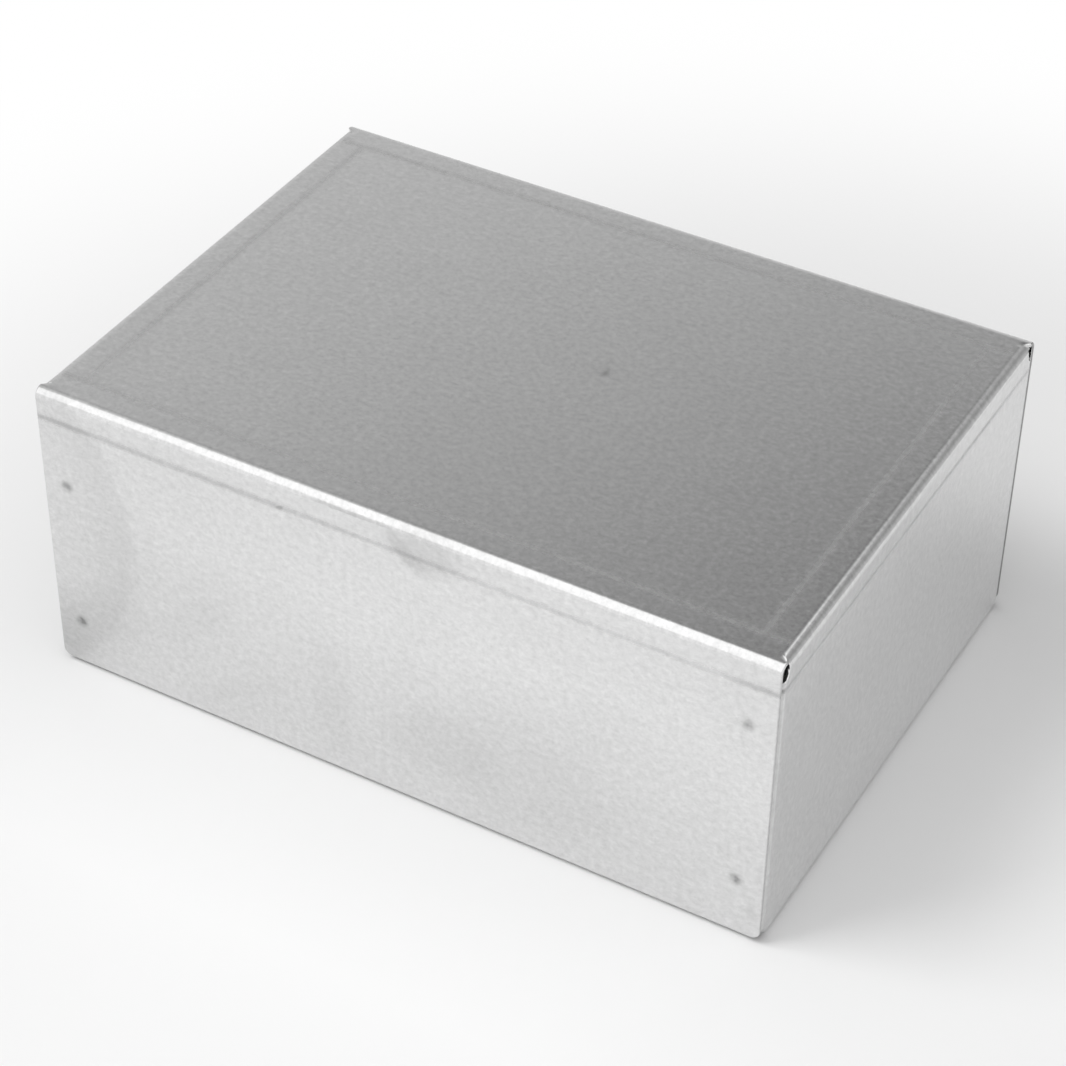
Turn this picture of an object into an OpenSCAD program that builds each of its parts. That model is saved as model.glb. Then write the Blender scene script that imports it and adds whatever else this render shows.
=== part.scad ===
// Open-bottomed electronics chassis folded from one aluminium sheet.
// Four walls bend down from the top. Tabs bent from the end walls lie inside the long walls and are spot
// welded to them, and the foot of every wall turns in as a lip.
// Millimetres. X runs along the long walls, Y from the front to the back, and Z up.
// The origin is the middle of the footprint, level with the undersides of the lips.

/* [Overall size] */
// Length over the two end walls
chassis_l = 177.8; // [120:0.1:320]
// Depth over the front and back walls
chassis_w = 127; // [90:0.1:260]
// Height from the undersides of the lips to the top
chassis_h = 76.2; // [50:0.1:130]

/* [Sheet] */
// Thickness of the sheet
sheet_t = 1; // [0.8:0.05:1.6]
// Inside radius of the top folds and of the lips' bends
bend_in = 1.2; // [0.8:0.05:2]

/* [Bottom lips] */
// Width of each lip, from the outer face of its wall
lip_w = 12.7; // [8:0.1:20]
// Distance from a long wall's end to the start of its lip's mitre
mitre_start = 0.4; // [0.2:0.1:2]
// Radius of the corner between a long wall's end and that mitre
foot_round = 1.4; // [0.5:0.1:4]

/* [Corner relief] */
// Distance that the end of a long wall stays back from the outer face of the end wall
wall_setback = 0.2; // [0.1:0.05:0.8]
// Radius of the round foot of the notch beside the end wall's top fold
notch_r = 3; // [2:0.1:4]
// Distance that the notch runs past the end wall's vertical bend
notch_past = 1.1; // [0.5:0.1:3]
// Angle of the top fold at which the notch stops
notch_turn = 60; // [45:1:75]
// Distance that the slit beside the top's corner runs past the notch
slit_past = 0.6; // [0.2:0.1:2]
// Width of the slit at its open end
slit_gap = 0.15; // [0.1:0.05:0.4]

/* [Corner tabs] */
// Width of each tab, from the outer face of its end wall
tab_w = 12.7; // [11:0.1:20]
// Inside radius of the vertical bend that carries a tab
tab_bend_in = 0.3; // [0.2:0.05:1.2]
// Height from the start of the lip's bend to the foot of the tab
tab_foot_gap = 0.1; // [0.1:0.1:3]
// Gap between a tab and the long wall that it is welded to
lap_gap = 0.1; // [0.05:0.05:0.3]

/* [Spot welds] */
// Diameter of a weld and of the dish that the electrode leaves
weld_d = 3.4; // [2:0.1:4.5]
// Depth of the dish
dish_depth = 0.06; // [0.03:0.01:0.3]
// Distance from the outer face of the end wall to the welds
weld_in = 6.4; // [6:0.1:8]
// Height of each corner's lower weld: front left, front right, back right, back left
weld_rise = [13.6, 16.2, 14.5, 15.5]; // [10:0.1:20]
// Distance of each corner's upper weld from the top, in the same order
weld_drop = [24, 17.1, 19.5, 22]; // [12:0.1:26]

/* [Hidden] */

$fn = 64;
// Overlap of a cutting shape past the face that it cuts
past = 1;

half_l = chassis_l / 2;
half_w = chassis_w / 2;
bend_out = bend_in + sheet_t;
tab_bend_out = tab_bend_in + sheet_t;

// The top folds start on these lines and end at this height
end_fold = half_l - bend_out;
long_fold = half_w - bend_out;
fold_end = chassis_h - bend_out;

// The long walls end just short of the end walls' outer faces
long_end = half_l - wall_setback;
// The end walls are flat as far as their vertical bends, which stay inside the long walls
tab_face = half_w - sheet_t - lap_gap;
end_flat = tab_face - tab_bend_out;

// The notch is round below the end of the top fold. From its upper end a slit runs on between the end
// wall's fold and the pointed corner of the top, as far as the line where that fold starts.
notch_edge = end_flat - notch_past;
slit_end = notch_edge - slit_past;

// A long wall's end turns into the mitre of its lip along an eighth of a circle, which starts at this height
foot_top = bend_out + mitre_start + foot_round * tan(22.5);
tab_foot = bend_out + tab_foot_gap;
tab_head = fold_end - notch_r;

// A dish is a cap of a ball with the weld's diameter at the face
dish_ball_r = (weld_d * weld_d / 4 + dish_depth * dish_depth) / (2 * dish_depth);

// Corners as signs of X and Y: front left, front right, back right, back left
corners = [[-1, -1], [1, -1], [1, 1], [-1, 1]];

// Carries a shape made for the front right corner to another corner
module at_corner(corner) {
    mirror([corner[0] < 0 ? 1 : 0, 0, 0])
        mirror([0, corner[1] > 0 ? 1 : 0, 0])
            children();
}

// Rectangle with round corners, standing on the X axis
module round_rect(w, h, r) {
    translate([r - w / 2, 0]) square([w - 2 * r, h]);
    translate([-w / 2, r]) square([w, h - 2 * r]);
    for (side = [-1, 1], y = [r, h - r])
        translate([side * (w / 2 - r), y]) circle(r);
}

// Section of the sheet through two opposite walls: lip, wall, top, wall and lip, with a bend between each
module folded_section(span) {
    difference() {
        round_rect(span, chassis_h, bend_out);
        translate([0, sheet_t])
            round_rect(span - 2 * sheet_t, chassis_h - 2 * sheet_t, bend_in);
        translate([lip_w - span / 2, -past])
            square([span - 2 * lip_w, sheet_t + 2 * past]);
    }
}

// Mitre at the end of a lip and its bend, cut back at 45 degrees from a place behind the wall's end.
// X runs out past the end and Y in from the wall's outer face.
module lip_mitre(start) {
    reach = lip_w + past;
    outside = bend_out + past;
    translate([-start, 0, -past])
        linear_extrude(bend_out + past)
            polygon([[0, 0], [-reach, reach], [start + outside, reach], [start + outside, 0]]);
}

// Waste outside the corner at the foot of a long wall's end, in the same directions.
// The corner is an eighth of a circle and then a 45 degree line, which meets the mitre where the bend ends.
module foot_waste() {
    turn_end = [foot_round * (cos(45) - 1), foot_top - foot_round * sin(45)];
    line_end = turn_end - (turn_end[1] + past) * [1, 1];
    translate([0, bend_out, 0])
        rotate([90, 0, 0])
            linear_extrude(bend_out + past)
                difference() {
                    polygon([[0, foot_top], turn_end, line_end, [past, line_end[1]], [past, foot_top]]);
                    translate([-foot_round, foot_top]) circle(foot_round);
                }
}

// Waste of the top at one end, between its two pointed corners. A corner's edge runs from the slit's end on
// the end wall's fold line to the long wall's end on its own fold line.
module top_waste() {
    run = half_l - end_fold;
    spread = (long_fold - slit_end) * run / (long_end - end_fold);
    translate([end_fold, 0, fold_end])
        linear_extrude(bend_out + past)
            polygon([[0, -slit_end], [run, -slit_end - spread], [run, slit_end + spread], [0, slit_end]]);
}

// Top, front wall and back wall with their lips
module long_walls() {
    difference() {
        rotate([90, 0, 90])
            linear_extrude(2 * long_end, center = true)
                folded_section(chassis_w);
        top_waste();
        mirror([1, 0, 0]) top_waste();
        for (corner = corners)
            at_corner(corner)
                translate([long_end, -half_w, 0]) {
                    lip_mitre(mitre_start);
                    foot_waste();
                }
    }
}

// Round foot of the notch in an end wall and its vertical bend, at the front right corner
module notch_foot() {
    translate([end_fold - past, -notch_edge - notch_r, fold_end])
        rotate([90, 0, 90])
            linear_extrude(bend_out + 2 * past)
                intersection() {
                    circle(notch_r);
                    translate([-notch_r, -notch_r]) square([2 * notch_r, notch_r]);
                }
}

// Upper part of the notch, in the end wall's top fold. It stops on a plane through the fold's axis.
module notch_head() {
    reach = 2 * bend_out;
    translate([end_fold, -notch_edge, fold_end])
        rotate([90, 0, 0])
            linear_extrude(half_w - notch_edge)
                polygon([[0, 0], reach * [sin(notch_turn), cos(notch_turn)], [reach * sin(notch_turn), 0]]);
}

// Slit from the notch to the start of the end wall's top fold, and all of that fold in front of it
module corner_slit() {
    inside = end_fold - past;
    outside = half_l + past;
    open_edge = long_fold - slit_gap;
    translate([0, 0, fold_end])
        linear_extrude(bend_out + past)
            polygon([
                [inside, -slit_end], [end_fold, -slit_end], [long_end, -open_edge], [outside, -open_edge],
                [outside, -half_w], [inside, -half_w],
            ]);
}

// Both end walls with their top folds and lips, as far as the vertical bends
module end_walls() {
    difference() {
        rotate([90, 0, 0])
            linear_extrude(2 * end_flat, center = true)
                folded_section(chassis_l);
        for (corner = corners)
            at_corner(corner) {
                notch_foot();
                notch_head();
                corner_slit();
                translate([half_l, -end_flat, 0])
                    rotate([0, 0, 90]) mirror([1, 0, 0]) lip_mitre(0);
            }
    }
}

// Vertical bend from an end wall and the tab that it carries behind the long wall, at the front right corner
module corner_tab() {
    difference() {
        translate([half_l - tab_bend_out, -end_flat, tab_foot])
            linear_extrude(fold_end - tab_foot)
                difference() {
                    intersection() {
                        circle(tab_bend_out);
                        translate([0, -tab_bend_out]) square(tab_bend_out);
                    }
                    circle(tab_bend_in);
                }
        notch_foot();
    }
    translate([half_l - tab_w, -tab_face, tab_foot])
        cube([tab_w - tab_bend_out, sheet_t, tab_head - tab_foot]);
}

// Metal of one weld, from the middle of the long wall's sheet to the middle of the tab's
module weld_nugget() {
    translate([0, sheet_t / 2, 0])
        rotate([-90, 0, 0]) cylinder(h = sheet_t + lap_gap, d = weld_d);
}

// Dishes that the two electrodes leave, in the wall's outer face and the tab's inner face
module weld_dishes() {
    lap_t = 2 * sheet_t + lap_gap;
    for (side = [-1, 1])
        translate([0, lap_t / 2 + side * (lap_t / 2 - dish_depth), 0])
            rotate([-90 * side, 0, 0])
                intersection() {
                    translate([0, 0, dish_ball_r]) sphere(dish_ball_r);
                    cylinder(h = 2 * dish_depth, d = weld_d + past);
                }
}

// Sets a shape at the two welds of each corner
module at_welds() {
    for (i = [0 : len(corners) - 1], z = [weld_rise[i], chassis_h - weld_drop[i]])
        at_corner(corners[i])
            translate([half_l - weld_in, -half_w, z]) children();
}

module chassis() {
    color([0.78, 0.79, 0.8])
        difference() {
            union() {
                long_walls();
                end_walls();
                for (corner = corners)
                    at_corner(corner) corner_tab();
                at_welds() weld_nugget();
            }
            at_welds() weld_dishes();
        }
}

chassis();
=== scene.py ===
"""Folds an open-bottomed aluminium chassis from one sheet and sets a small studio round it."""
import math
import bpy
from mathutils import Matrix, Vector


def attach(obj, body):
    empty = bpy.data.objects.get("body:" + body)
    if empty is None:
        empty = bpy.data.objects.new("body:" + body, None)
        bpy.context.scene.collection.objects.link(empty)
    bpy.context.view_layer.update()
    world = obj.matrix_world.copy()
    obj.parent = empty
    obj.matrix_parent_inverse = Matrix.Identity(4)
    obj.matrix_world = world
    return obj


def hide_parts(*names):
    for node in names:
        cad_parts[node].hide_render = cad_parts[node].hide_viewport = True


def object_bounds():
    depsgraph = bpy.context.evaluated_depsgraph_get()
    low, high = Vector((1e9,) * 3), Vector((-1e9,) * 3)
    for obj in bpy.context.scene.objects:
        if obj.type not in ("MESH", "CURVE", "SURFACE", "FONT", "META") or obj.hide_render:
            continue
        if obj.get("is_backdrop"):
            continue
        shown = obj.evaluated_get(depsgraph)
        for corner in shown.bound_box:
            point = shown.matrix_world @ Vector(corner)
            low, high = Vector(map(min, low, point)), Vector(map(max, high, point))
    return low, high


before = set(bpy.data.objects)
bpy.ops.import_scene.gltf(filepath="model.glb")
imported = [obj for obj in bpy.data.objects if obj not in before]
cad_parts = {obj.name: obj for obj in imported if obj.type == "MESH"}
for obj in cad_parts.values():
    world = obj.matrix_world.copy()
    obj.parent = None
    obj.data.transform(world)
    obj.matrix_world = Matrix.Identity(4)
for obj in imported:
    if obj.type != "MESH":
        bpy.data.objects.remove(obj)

from types import SimpleNamespace

import bpy
import numpy as np
from bpy.props import FloatProperty, FloatVectorProperty, PointerProperty
from mathutils import Quaternion, Vector

bl_info = {
    "name": "Folded Aluminium Chassis",
    "version": (1, 0, 0),
    "blender": (4, 5, 0),
    "location": "3D View > Sidebar > Chassis",
    "description": "Folds an open-bottomed aluminium chassis from one sheet and sets a studio round it",
    "category": "Object",
}

MM = 0.001
QUARTER_TURN = math.pi / 2
CAD_NODE = "chassis"

CAD_LOW, CAD_HIGH = (tuple(corner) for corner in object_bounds())
CAD_SPAN = [high - low for low, high in zip(CAD_LOW, CAD_HIGH)]

# Corners as signs of X and Y: front left, front right, back right, back left
CORNERS = ((-1, -1), (1, -1), (1, 1), (-1, 1))

# Spacing of the grid at a feature: on the walls, across the top and on the tabs
WALL_STEP = 0.3 * MM
TOP_STEP = 0.25 * MM
TAB_STEP = 0.12 * MM
# Widest spacing of the grid: on the walls and the top, and on the tabs
WIDE_STEP = 5 * MM
TAB_WIDE_STEP = 2 * MM
# Growth of the spacing with the distance from a feature
STEP_GROWTH = 0.65
# Number of points along a stretch at which the spacing is worked out
STRETCH_POINTS = 2001
# Points that agree to within this distance become one
MERGE_STEP = 0.001 * MM
# Edges that turn by more than this are shaded as sharp ones
SHARP_TURN = math.radians(35)

# Share by which the stations of a pointed corner close up at its tip
TIP_CLOSE = 0.95
# Width of the row between the uncut part of an end wall's fold and the notch
NOTCH_ROW = 0.03 * MM
# Height of the band of rows that is drawn down to the notch's foot, in notch radii
NOTCH_BAND = 1.4
# Stations on the rounding of a long wall's end, as shares of its radius
ROUND_STATIONS = np.array([0.1, 0.3, 0.6, 1.0])
# Part of that rounding that is the cut end and gets painted seam shade, as a share of its radius
CUT_SHARE = 0.35
# Painted shade on the vertical bends beside the cut ends: how dark, and the turns at which it starts and is
# full
PAINTED_BEND_SHADE = 0.45
BEND_SHADE_TURNS = (0.1, 0.7)
# Width of the bell curve across a weld's dish, as a share of the weld's diameter
WELD_SPREAD = 0.38
# Stations across a weld, in diameters, and across a die line, in half widths
WELD_STATIONS = np.linspace(-0.5, 0.5, 5)
LINE_STATIONS = np.array([-1.2, -0.5, 0, 0.5, 1.2])
# Numbers at each point of a grid: marks as shares of their depth, the roll-off of a cut end in metres, and
# the painted shade in the seams beside the cut ends, on both faces
PATCH_MARKS = ("lines", "welds", "inner_welds", "pit", "rolled", "seam", "inner_seam")

# Scales of the noise on the flat blank: fine grain, small blotches and broad clouds
GRAIN_SCALE = 800.0
BLOTCH_SCALE = 450.0
CLOUD_SCALE = 60.0
# Scale of the grain along X against Y: below 1, because rolling draws it out
GRAIN_STRETCH = 0.85
# Values between which the grain and the other noises are read
GRAIN_BOUNDS = (0.2, 0.8)
NOISE_BOUNDS = (0.3, 0.7)
# How far the grain, the blotches and the clouds move the metal's tone up and down
GRAIN_SWING = 0.15
BLOTCH_SWING = 0.03
CLOUD_SWING = 0.015
# How far the grain moves the roughness up and down, and what a die line adds to it
ROUGHNESS_SWING = 0.02
LINE_ROUGHNESS = 0.16
# How much the marks darken the metal: a die line and a weld from least to most, the pit, and the painted
# seam shade
LINE_DARK = (0.08, 0.18)
WELD_DARK = (0.36, 0.5)
PIT_DARK = 0.32
SEAM_SHADE_DARK = 0.65
# Smallest and largest reach of a weld's uneven edge
WELD_EDGE = (0.7, 1.4)

# Handling stains on the front wall, and a wide band of painted shade along its foot: middle along X and Z,
# half length and half height (mm), tilt (degrees), how much they darken the metal, and how soft their edge
# is as a share of their size.
# One that darkens by less than nothing is a wiped place.
STAINS_AND_SHADE = (
    (-100, 41, 34, 42, 0, 0.08, 0.06),
    (-105, 44, 30, 34, 0, -0.05, 0.4),
    (-78, 14, 20, 8, 50, 0.05, 0.7),
    (-89, 4, 10, 13, 0, 0.08, 0.8),
    # Painted shade: this wide band makes the wall darker towards its foot, where it mirrors the floor's
    # contact shadow
    (10, 8, 110, 30, 0, 0.06, 0.6),
    (13, 20, 13, 9, 0, 0.05, 0.6),
    (36, 19, 22, 11, 10, 0.035, 0.6),
    (-15, 21, 5, 14, 5, 0.035, 0.6),
    (-52, 27, 14, 4, 35, 0.02, 0.7),
    (46, 38, 24, 10, 15, 0.03, 0.6),
    (-58, 38, 22, 9, 0, 0.025, 0.6),
    (86, 66, 10, 16, -15, 0.02, 0.2),
)
# Small marks on the front wall, in the same terms
MARKS = (
    (4.2, 69.6, 6.5, 1.9, -43, 0.08, 0.5),
    (8.5, 71, 8, 5, 0, 0.13, 0.6),
    (-40, 12, 15, 2.2, 32, 0.03, 0.7),
    (-9.5, 74.45, 9, 0.3, 0, 0.2, 0.6),
    (-26.3, 69.1, 0.95, 0.45, 20, 0.2, 0.4),
    (-45, 69.3, 38, 1.0, 0, 0.08, 0.6),
    (-82, 69.2, 7, 0.9, 0, 0.1, 0.6),
    (84, 69.3, 6, 0.9, 0, 0.1, 0.6),
    (86.5, 8.5, 1.2, 2, 0, 0.08, 0.6),
)
# Unevenness of the edges of the stains and the painted shade band, and of the small marks' edges: scale of
# its noise, and its reach
STAIN_AND_SHADE_WARP = (120.0, 4 * MM)
MARK_WARP = (600.0, 0.6 * MM)

# The floor keeps its shadow round this place, and fades to white between these two distances from it
FADE_MIDDLE = (0.09, -0.06, 0.0)
FADE_RANGE = (0.17, 0.4)
# Turn of the softbox about Z, and its sides along its own axes in multiples of its height above the top
SOFTBOX_TURN = math.radians(-36)
SOFTBOX_FRONT = -2.8
SOFTBOX_BACK = 0.98
SOFTBOX_LEFT = -0.39
SOFTBOX_RIGHT = 2.0
# How far the softbox's left side runs out for each step towards the front
SOFTBOX_FLARE = 0.2
# Share by which the softbox's glow falls at its right, and the range over which it falls
SOFTBOX_FALL = 0.4
SOFTBOX_FALL_RANGE = (0.7, 1.3)
# Azimuths from the back and elevations between which the backdrop spans (degrees), and its right end's glow
BACKDROP_AZIMUTHS = (-110, 110)
BACKDROP_ELEVATIONS = (-20, 76)
BACKDROP_END_GLOW = 1.25
# Azimuths of the low card's two ends, from the back (degrees), and its gap above the floor
LOW_CARD_ENDS = (5, 75)
LOW_CARD_GAP = 1 * MM
# Width of the camera's sensor (mm), and the distance at which its view starts (m)
SENSOR_WIDTH = 36.0
VIEW_START = 0.01


def length_property(name, description, default_mm):
    """A length that is shown in the user's unit; its default is given in millimetres."""
    return FloatProperty(name=name, description=description, default=default_mm * MM, unit="LENGTH",
                         precision=5)


def lengths_property(name, description, defaults_mm, **extra):
    """A row of lengths, such as a place, with its defaults in millimetres."""
    return FloatVectorProperty(name=name, description=description, size=len(defaults_mm), unit="LENGTH",
                               default=tuple(length * MM for length in defaults_mm), **extra)


def share_property(name, description, default, most=1.0):
    """A share from 0 to a largest value."""
    return FloatProperty(name=name, description=description, default=default, min=0, max=most,
                         subtype="FACTOR")


def colour_property(name, description, grey):
    """A colour, which is grey by default."""
    return FloatVectorProperty(name=name, description=description, size=3, subtype="COLOR", min=0, max=1,
                               default=(grey, grey, grey))


class ChassisSheet(bpy.types.PropertyGroup):
    """Sizes of the folded sheet."""

    length: length_property("Length", "Length over the two end walls", CAD_SPAN[0] / MM)
    depth: length_property("Depth", "Depth over the front and back walls", CAD_SPAN[1] / MM)
    height: length_property("Height", "Height from the undersides of the lips to the top", CAD_SPAN[2] / MM)
    thickness: length_property("Thickness", "Thickness of the sheet", 1.0)
    bend_radius: length_property(
        "Bend radius", "Inside radius of the top folds and of the lips' bends", 1.2)
    lip_width: length_property("Lip width", "Width of each lip, from the outer face of its wall", 12.7)
    wall_setback: length_property(
        "Wall setback", "Distance that a long wall's end stays back from the end wall's outer face", 0.2)
    notch_radius: length_property(
        "Notch radius", "Radius of the round foot of the notch beside the end wall's top fold", 3.0)
    notch_past: length_property(
        "Notch past", "Distance that the notch runs past the end wall's vertical bend", 1.1)
    notch_turn: FloatProperty(
        name="Notch turn", description="Angle of the top fold at which the notch stops",
        default=math.radians(60), subtype="ANGLE")
    slit_past: length_property(
        "Slit past", "Distance that the slit beside the top's corner runs past the notch", 0.6)
    slit_gap: length_property("Slit gap", "Width of the slit at its open end", 0.15)
    mitre_start: length_property(
        "Mitre start", "Distance from a long wall's end to the start of its lip's mitre", 0.4)
    foot_round: length_property(
        "Foot round", "Radius of the corner between a long wall's end and that mitre", 1.4)
    tab_width: length_property("Tab width", "Width of each tab, from the outer face of its end wall", 12.7)
    tab_bend_radius: length_property(
        "Tab bend radius", "Inside radius of the vertical bend that carries a tab", 0.3)
    tab_foot_gap: length_property(
        "Tab foot gap", "Height from the start of the lip's bend to the foot of the tab", 0.1)
    lap_gap: length_property("Lap gap", "Gap between a tab and the long wall that it is welded to", 0.1)
    wall_end_round: length_property("Wall end round", "Rounding of a long wall's sheared ends", 0.25)
    cut_edge: length_property("Cut edge", "Rounding of the other sheared edges", 0.12)
    panel_hollow: length_property(
        "Panel hollow", "Depth of the shallow hollow in the middle of each panel", 0.1)


class ToolMarks(bpy.types.PropertyGroup):
    """Marks that the press brake and the spot welder leave on the sheet, and the painted shade at the front
    cut ends.
    """

    top_line: length_property("Top line", "Distance of the die line on the top from the outer faces", 7.9)
    wall_line: length_property("Wall line", "Distance of the die line on the walls below the top", 6.9)
    top_line_width: length_property("Top line width", "Half width of a die line on the top", 0.95)
    wall_line_width: length_property("Wall line width", "Half width of a die line on a wall", 0.7)
    top_share: share_property(
        "Top share", "Strength of the die lines on the top against those on the long walls", 0.6, most=2)
    end_share: share_property(
        "End share", "Strength of the die lines on the end walls against those on the long walls", 1.6,
        most=2)
    line_depth: length_property("Line depth", "Depth of a die line", 0.005)
    # Painted shade: how dark the seam shade at the front wall's cut ends is against that at the back wall's
    front_seam_shade: share_property(
        "Front seam", "Darkness of the front wall's cut ends against the back wall's", 0.15)
    weld_diameter: length_property("Weld diameter", "Diameter of the dish that a weld leaves", 3.4)
    weld_depth: length_property("Weld depth", "Depth of the dish that a weld leaves", 0.06)
    weld_inset: length_property("Weld inset", "Distance of the welds from the end wall's outer face", 6.4)
    weld_rise: lengths_property(
        "Weld rise", "Height of each corner's lower weld", (13.6, 16.2, 14.5, 15.5))
    weld_drop: lengths_property(
        "Weld drop", "Distance of each corner's upper weld below the top", (24.0, 17.1, 19.5, 22.0))
    pit_place: lengths_property("Pit place", "Place of the pit on the top", (13.5, 3.9))
    pit_radius: lengths_property(
        "Pit radius", "Half length and half depth of the pit on the top", (0.85, 1.35))
    pit_depth: length_property("Pit depth", "Depth of the pit on the top", 0.02)


class SheetFinish(bpy.types.PropertyGroup):
    """Look of the mill-finished aluminium."""

    colour: colour_property("Colour", "Colour of the clean metal", 0.76)
    roughness: share_property("Roughness", "Roughness of the clean metal", 0.2)
    grain: share_property("Grain", "Strength of the fine mill grain", 1.0, most=2)
    # Also sets the strength of the painted shade band along the front wall's foot
    stain_and_shade: share_property("Stain", "Strength of the handling stains", 1.0, most=2)


class ChassisStudio(bpy.types.PropertyGroup):
    """Floor, lamps, reflectors and camera."""

    floor_colour: colour_property("Floor colour", "Colour of the floor", 0.85)
    floor_radius: length_property("Floor radius", "Radius of the floor", 600)
    fill: share_property("Fill", "Strength of the white surroundings where they only light something", 0.1)
    overhead_power: FloatProperty(
        name="Overhead power", description="Power of the overhead lamp", default=13.3, unit="POWER")
    overhead_size: lengths_property("Overhead size", "Size of the overhead lamp", (1600, 2400))
    overhead_place: lengths_property(
        "Overhead place", "Where the overhead lamp hangs", (250, -780, CAD_HIGH[2] / MM + 700),
        subtype="XYZ")
    left_power: FloatProperty(
        name="Left power", description="Power of the lamp on the left", default=32.0, unit="POWER")
    left_size: lengths_property("Left size", "Size of the lamp on the left", (1300, 1300))
    left_place: lengths_property(
        "Left place", "Where the lamp on the left hangs", (-1300, -900, 2200), subtype="XYZ")
    softbox_glow: FloatProperty(
        name="Softbox glow", description="Brightness of the softbox that the metal mirrors", default=1.3)
    softbox_height: length_property("Softbox height", "Height of the softbox above the top", 1500)
    backdrop_radius: length_property(
        "Backdrop radius", "Radius of the graded backdrop that the metal mirrors", 10000)
    card_radius: length_property("Card radius", "Distance of the low card from the middle", 330)
    card_height: length_property("Card height", "Height of the low card", 60)
    card_glow: FloatProperty(
        name="Card glow", description="Brightness of the low card that the right fold mirrors",
        default=0.55)
    camera_place: lengths_property(
        "Camera place", "Where the camera stands", (251.3, -452.3, 447.3), subtype="XYZ")
    camera_aim: lengths_property(
        "Camera aim", "Point that the camera looks at", (4.3, -10.6, 38.1), subtype="XYZ")
    camera_roll: FloatProperty(
        name="Camera roll", description="Turn of the camera about its view line",
        default=math.radians(0.862), subtype="ANGLE")
    camera_lens: FloatProperty(
        name="Camera lens", description="Focal length on a 36 mm sensor", default=99.1, unit="CAMERA")


def sheet_layout(sheet):
    """Sizes of the fold lines and cuts, worked out from the driving sizes as in the solid model."""
    plan = SimpleNamespace()
    plan.half_l = sheet.length / 2
    plan.half_w = sheet.depth / 2
    plan.height = sheet.height
    plan.thickness = sheet.thickness
    plan.bend_out = sheet.bend_radius + sheet.thickness
    plan.bend_mid = sheet.bend_radius + sheet.thickness / 2
    plan.bend_run = QUARTER_TURN * plan.bend_mid
    plan.wall_run = sheet.height - 2 * plan.bend_out
    plan.lip_run = sheet.lip_width - plan.bend_out
    plan.long_end = plan.half_l - sheet.wall_setback
    plan.end_fold = plan.half_l - plan.bend_out
    plan.long_fold = plan.half_w - plan.bend_out
    plan.fold_end = sheet.height - plan.bend_out
    plan.tab_bend_out = sheet.tab_bend_radius + sheet.thickness
    plan.tab_bend_mid = sheet.tab_bend_radius + sheet.thickness / 2
    plan.end_flat = plan.half_w - sheet.thickness - sheet.lap_gap - plan.tab_bend_out
    plan.tab_start = plan.end_flat + QUARTER_TURN * plan.tab_bend_mid
    plan.tab_end = plan.tab_start + sheet.tab_width - plan.tab_bend_out
    plan.tab_foot_run = run_at_height(plan, plan.half_l, plan.bend_out + sheet.tab_foot_gap)
    plan.notch_r = sheet.notch_radius
    plan.notch_edge = plan.end_flat - sheet.notch_past
    plan.notch_run = plan.end_fold + plan.bend_mid * sheet.notch_turn
    plan.slit_end = plan.notch_edge - sheet.slit_past
    plan.slit_gap = sheet.slit_gap
    plan.mitre_start = sheet.mitre_start
    plan.foot_round = sheet.foot_round
    plan.foot_top = plan.bend_out + sheet.mitre_start + sheet.foot_round * math.tan(math.pi / 8)
    return plan


def fold_stops(plan, half_span):
    """Distances along the sheet, from the middle of the top, of the ends of its bends and of its edge."""
    stretches = (half_span - plan.bend_out, plan.bend_run, plan.wall_run, plan.bend_run, plan.lip_run)
    return np.cumsum(stretches)


def run_at_height(plan, half_span, height):
    """Distance along the sheet of a height on the wall: the top bend's end plus the drop from it."""
    return fold_stops(plan, half_span)[1] + plan.height - plan.bend_out - height


def fold_path(plan, half_span, run):
    """Middle of the folded sheet, run metres along it from the middle of the top: (out, up, out_n, up_n).

    The path is a flat top, a quarter circle of radius r, a straight wall, a quarter circle and a straight
    lip. With the two turns a and b, each held between 0 and 90 degrees, the point is the sum of the
    stretches passed: out = flat + r sin a - r (1 - cos b) - lip
    and up = top - r (1 - cos a) - wall - r sin b.
    The direction out of the sheet is (sin(a + b), cos(a + b)).
    """
    flat_end, wall_start, wall_end, lip_start, lip_end = fold_stops(plan, half_span)
    radius = plan.bend_mid
    top_turn = np.clip((run - flat_end) / radius, 0, QUARTER_TURN)
    foot_turn = np.clip((run - wall_end) / radius, 0, QUARTER_TURN)
    flat = np.clip(run, 0, flat_end)
    wall = np.clip(run, wall_start, wall_end) - wall_start
    lip = np.clip(run, lip_start, lip_end) - lip_start
    top = plan.height - plan.thickness / 2
    out = flat + radius * np.sin(top_turn) - radius * (1 - np.cos(foot_turn)) - lip
    up = top - radius * (1 - np.cos(top_turn)) - wall - radius * np.sin(foot_turn)
    turn = top_turn + foot_turn
    return out, up, np.sin(turn), np.cos(turn)


def graded(stops, features, fine, coarse):
    """Stations from the first stop to the last that hit every stop and crowd round the features.

    The spacing at a point is fine plus its distance to the nearest feature times the growth, and at most
    coarse. Counting 1 / spacing along each stretch and cutting the count into equal parts gives the
    stations.
    """
    marks = np.asarray(features, float)
    stations = [stops[:1]]
    for start, end in zip(stops[:-1], stops[1:]):
        stretch = np.linspace(start, end, STRETCH_POINTS)
        distance = np.abs(stretch[:, None] - marks).min(axis=1)
        spacing = np.minimum(fine + STEP_GROWTH * distance, coarse)
        count = np.concatenate(([0.0], np.cumsum(np.diff(stretch) / spacing[1:])))
        parts = max(1, math.ceil(count[-1]))
        stations.append(np.interp(np.linspace(0, count[-1], parts + 1)[1:], count, stretch))
    return np.concatenate(stations)


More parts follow.
